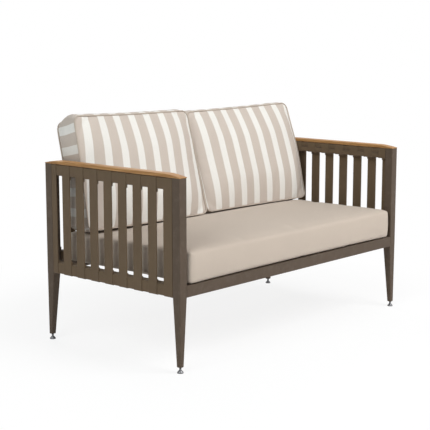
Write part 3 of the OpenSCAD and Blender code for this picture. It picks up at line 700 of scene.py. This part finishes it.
striped_cloth, tree, sockets, spot = open_cloth("striped_cloth")
u = put(tree, "ShaderNodeSeparateXYZ", n0=spot).outputs[0]
part = sums(tree, "FRACT", sums(tree, "MULTIPLY_ADD", u, 1 / stripe_pitch, 100.5))
away = sums(tree, "ABSOLUTE", sums(tree, "SUBTRACT", part, 0.5))
mask = put(tree, "ShaderNodeMapRange", n0=away, n1=white_share / 2 - stripe_blur,
           n2=white_share / 2 + stripe_blur, n3=1.0, n4=0.0).outputs[0]
stripes = put(tree, "ShaderNodeMix", {"data_type": "RGBA"},
              n0=mask, n6=stripe_beige, n7=stripe_cream).outputs[2]
toned = use_group(tree, tone_drift, Colour=stripes, Amount=0.08, Scale=5.0)["Colour"]
weave_cloth(tree, sockets, spot, toned, (1800, 60, 1), relief=0.12, least=0.83)

# How the foam fills both cushions: the rear face's crown, the bow of the rear seam, the outer
# side's rise and bulge, the lifted front toe, the eased inner side and the slumped corner, which
# moves out as well and begins higher up on the front than on the rear.
rear_crown, rear_bow, outer_rise, side_bulge = 0.020, 0.009, 0.005, 0.003
toe_lift, toe_run, inner_ease = 0.010, 0.03, 0.008
slump_out, front_power, rear_power, puff_power = 0.22, 1.15, 3, 30


def outwards(point, side):
    """Where a point is across the cushion: -1 at its inner side, 1 at its outer side."""
    return 2 * side * point.x / back_w


# Each cushion's own turn, the fullness of its top, its extra height, how much wider its front
# is, the fullness of its outer side and that side's belly, how far its outer lower corner
# slumps back, its gap to the post and its cloth's pattern. near, outer, foot and low tell how
# far a point is to the front, to the outer side and to the foot.
for side, name, turn, puff, taller, flare, fill, belly, slump, post_gap, pattern in (
        (-1, "left", 1.2, 0.015, 0.008, 0, 0.009, 0, 0.036, 0.018, (0.0318, 0.108, 0.0131, 1.0)),
        (1, "right", 3.4, 0.012, 0, 0.011, 0, 0.013, 0, 0.009, (0.0052, -0.03, 0.0, 1.025))):
    turn = math.radians(turn)
    swing = back_w / 2 * math.sin(turn) * math.cos(back_lean)
    reach = back_g + max(rear_crown * (1 - (s / 20) ** crown_power) - (1 - s / 20) * swing
                         for s in range(21))
    rest_rise = arm_rail[1] - back_base
    seam_y = rest_y - reach / math.cos(back_lean) - rest_rise * math.tan(back_lean)
    cover = fold_cover(back_w, back_h, back_g, corner=back_corner, draw=0.003, bulge=0.001,
                       crown=0.022, under=0.014, cell=0.012, pattern=pattern)
    for point in cover[0]:
        if -back_g < point.z < 0:
            share = math.sin(math.pi * -point.z / back_g)
            point.x += side * side_bulge * share * max(0, outwards(point, side))
            between = 1 - abs(outwards(point, side)) ** puff_power
            point.y += puff * share * max(0, 2 * point.y / back_h) * between
        near, outer = max(0, min(1, 1 + point.z / back_g)), max(0, outwards(point, side))
        point.x += side * flare * near * outer
        up = max(0, point.y + back_h / 2)
        foot = 1 - up / back_h
        low = max(0, foot)
        up += up / back_h * (taller + outer_rise * outwards(point, side))
        point.z += rear_bow * min(0, point.z / back_g) * (1 - (1 - 2 * foot) ** 4)
        point.z += near * outer ** 2 * (fill + belly * math.sin(math.pi * low) ** 2)
        toe = max(0, 1 + point.z / toe_run) * max(0, 1 - up / toe_run)
        sunk = near * low ** front_power + (1 - near) * low ** rear_power
        point.z -= slump * outer ** 2 * sunk
        point.x += side * slump_out * slump * outer * low
        point.y = up - foot * point.z * math.tan(back_lean) + toe_lift * toe
        point.x += side * inner_ease * foot * max(0, -outwards(point, side)) ** 2
    cushion = sew_cover(name + "_back_pad", cover, striped_cloth)
    fill_cover(cushion, [(1.0, cover[3][0] + cover[3][1])], pressure=6.0, slack=0.012, most=0.012)
    left_x = post_w - half_w + post_gap if side < 0 else half_w - post_w - post_gap - back_w
    lean = Matrix(((1, 0, 0, 0), (0, math.sin(back_lean), -math.cos(back_lean), 0),
                   (0, math.cos(back_lean), math.sin(back_lean), 0), (0, 0, 0, 1)))
    stand = Matrix.Translation((left_x, rest_y + mid_y, 0)) @ Matrix.Rotation(-turn, 4, "Z") \
        @ Matrix.Translation((back_w / 2, seam_y - rest_y, back_base)) @ lean
    cushion.matrix_world = stand
    cushion.modifiers.new("smooth", "SUBSURF").render_levels = 1
    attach(cushion, name + "_back")
    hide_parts(name + "_back_cushion")
    for k, seam in enumerate(cover[3]):
        points = [stand @ cushion.data.vertices[i].co for i in seam]
        make_piece(name + "_back_piping_" + "ab"[k], run_cord(points, piping_radius),
                   plain_cloth, name + "_back")
